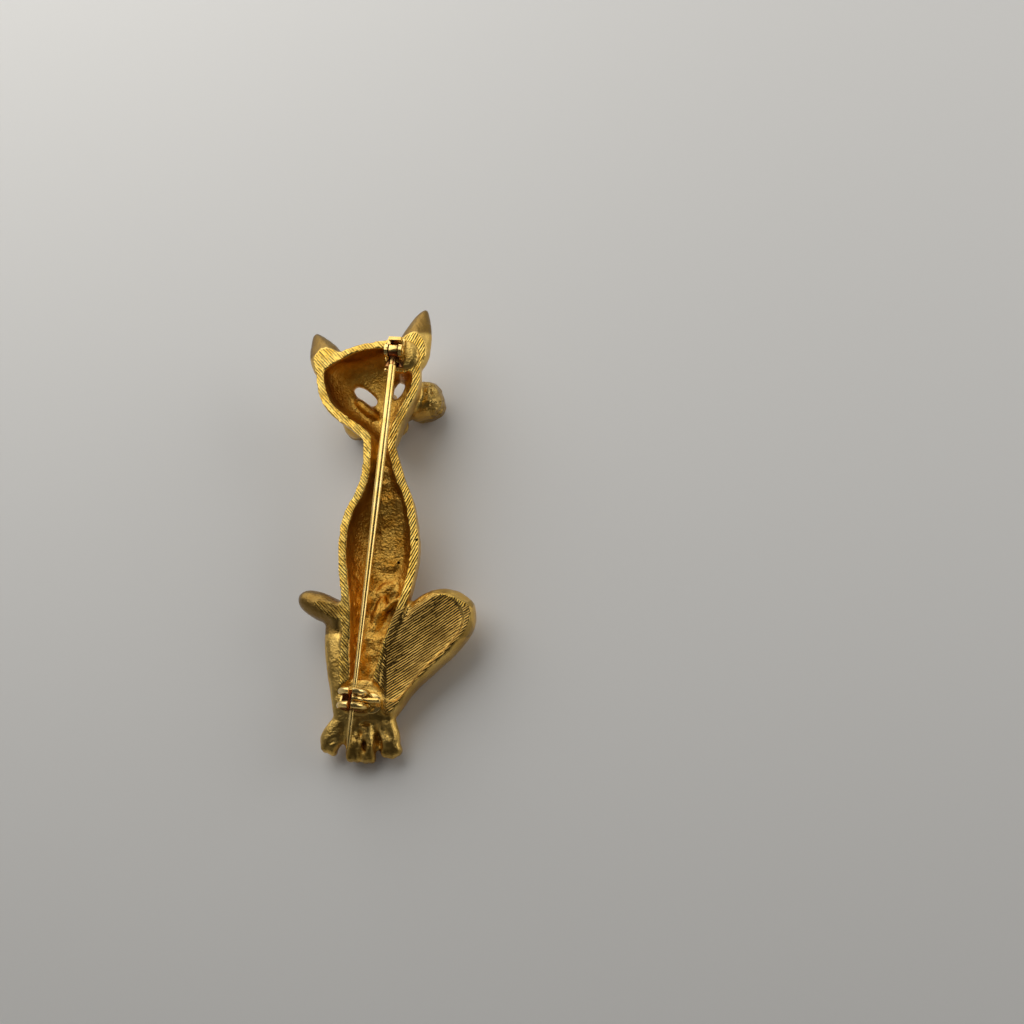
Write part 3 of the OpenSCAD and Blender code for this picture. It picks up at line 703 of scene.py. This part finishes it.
# The catch: two turned collars on an oblong base, slit on top for the stem and parted
# by the window that the lever swings in, soft-soldered to the seat at the ankles.
catch = hinge @ Matrix.Translation((0, -44.3, 0))
collar, catch_long, window, slit, seat_x = 1.95, 2.5, 0.94, 0.27, 0.39
bore, catch_drop = collar - sheet - 0.12, collar + sheet - 0.05
catch_under = -catch_drop - 0.12
collars = drum(collar - 0.2, -catch_long / 2 + 0.05, catch_long / 2 - 0.05, along_y, 96)
bead_r, bead_half = 0.36, (catch_long - window) / 4
for side in (-1, 1):
    bead_y = side * (window / 2 + bead_half)
    edge = [(collar - bead_r + bead_r * math.cos(a), bead_y + bead_half * math.sin(a))
            for a in np.radians(np.arange(-75, 76, 15))]
    cut(collars, lathe(edge, along_y, 96), "UNION")
foot = block((-0.74 * collar, -catch_long / 2, -catch_drop + 0.1),
             (0.74 * collar, catch_long / 2, -catch_drop + 1.4))
cut(collars, foot, "UNION")
cut(collars, drum(bore, -past, past, along_y, 96))
cut(collars, block((-slit, -past, 0), (slit, past, 4)))
# The window is deeper on the left, to let the lever's bar go all the way over
cut(collars, block((-4, -window / 2, -0.35), (4, window / 2, 4)))
cut(collars, block((-4, -window / 2, -1.3), (-0.5, window / 2, 4)))
soften_edges(collars, 0.07)
base_half, base_top = 1.45, -catch_drop + sheet
base = block((seat_x - base_half, -catch_long / 2, catch_under),
             (seat_x + base_half, catch_long / 2, base_top))
for side in (-1, 1):
    end = Matrix.Translation((seat_x + side * base_half, 0, 0))
    cut(base, drum(catch_long / 2, catch_under, base_top, end), "UNION")
soften_edges(base, 0.16)
finish_piece(base, "catch_base", catch, "brooch", polished)
# Painted shade: the collars' bore and the metal round it are painted dark red-brown
finish_piece(collars, "catch_collars", catch, "brooch", polished,
             lambda x, y, z: 0.95 * (np.hypot(x, z) < bore + 0.24))

# The roll-over lever: a slotted sleeve that turns inside the collars, with a round
# thumb bar brazed over its back. Turned over, it shuts the slit above the stem.
sleeve, bar_r, bar_reach = collar - sheet - 0.17, 0.33, 3.6
lever = drum(sleeve, -catch_long / 2 + 0.03, catch_long / 2 - 0.03, along_y, 72)
over = [(sleeve, a) for a in np.radians(np.arange(82, 21, -10))]
over += [(r, math.radians(12)) for r in (1.9, bar_reach - bar_r)]
bar = [Vector((r * math.cos(a), 0, r * math.sin(a))) for r, a in over]
cut(lever, tube(bar, bar_r, 20), "UNION")
cut(lever, ball(bar[-1], (bar_r, bar_r, bar_r)), "UNION")
cut(lever, drum(0.5 * sleeve, -past, past, along_y, 48))
slot = [(0.1, 0), (0.1, 2.6 * sleeve), (-1.64 * sleeve, 2.6 * sleeve),
        (-1.64 * sleeve, 0.95 * sleeve), (-0.26 * sleeve, 0)]
cut(lever, loft([[(x, y, z) for x, z in slot] for y in (-past, past)]))
soften_edges(lever, 0.06)
# Painted shade: the lever's left end and the inside of its sleeve are painted dark red-brown
finish_piece(lever, "roll_over_lever", catch, "lever", polished,
             lambda x, y, z: 0.9 * ((x < 0.08) | (np.hypot(x, z) < sleeve - 0.12) & (x < 0.9)))
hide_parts("catch_lever")

# The set: a pale card on the table, a large soft window light from the upper left, a
# weak one from the right and a room that is dark behind the viewer, seen from above and
# to the lower right of the brooch.
card = block((-0.6, -0.6, -0.004), (0.6, 0.6, 0))
card.name = "pale_card"
paper, n, skin = new_material("pale_card")
skin.inputs["Base Color"].default_value = (0.80, 0.795, 0.775, 1)
skin.inputs["Roughness"].default_value = 0.7
card.data.materials.append(paper)

camera = bpy.data.cameras.new("camera")
eye = bpy.data.objects.new("camera", camera)
scene.collection.objects.link(eye)
camera.lens, camera.sensor_width = 66.8, 36
eye.location = (0.05594, -0.08696, 0.21888)
eye.rotation_euler = [math.radians(a) for a in (22.0504, 10.6203, 0.0236)]
scene.camera = eye
scene.view_settings.view_transform = "Standard"


def soft_light(name, at, size, power, colour=(1, 1, 1)):
    lamp = bpy.data.objects.new(name, bpy.data.lights.new(name, "AREA"))
    lamp.data.shape, lamp.data.size, lamp.data.size_y = "RECTANGLE", *size
    lamp.data.energy, lamp.data.color = power, colour
    scene.collection.objects.link(lamp)
    lamp.location = at
    lamp.rotation_euler = Vector(at).to_track_quat("Z", "Y").to_euler()


soft_light("window", (-0.083, 0.128, 0.143), (0.24, 0.30), 0.32, (1, 0.985, 0.96))
soft_light("sill", (0.03, 0.17, 0.07), (0.22, 0.06), 0.035, (1, 0.985, 0.96))
soft_light("doorway", (0.24, 0.06, 0.10), (0.20, 0.14), 0.16, (1, 0.99, 0.98))

world = bpy.data.worlds.new("room")
scene.world = world
world.use_nodes = True
n = Nodes(world.node_tree)
direction = n("TexCoord").outputs["Generated"]
toward_viewer = n("VectorMath", {"operation": "DOT_PRODUCT"}, i0=direction,
                  i1=(0.30, -0.45, 0.84))
room = n("ValToRGB", Fac=toward_viewer.outputs["Value"])
room.color_ramp.elements[0].color = (0.29, 0.285, 0.28, 1)
room.color_ramp.elements[1].position = 0.85
room.color_ramp.elements[1].color = (0.05, 0.047, 0.043, 1)
backdrop = world.node_tree.nodes["Background"]
world.node_tree.links.new(room.outputs[0], backdrop.inputs["Color"])
backdrop.inputs["Strength"].default_value = 1.0
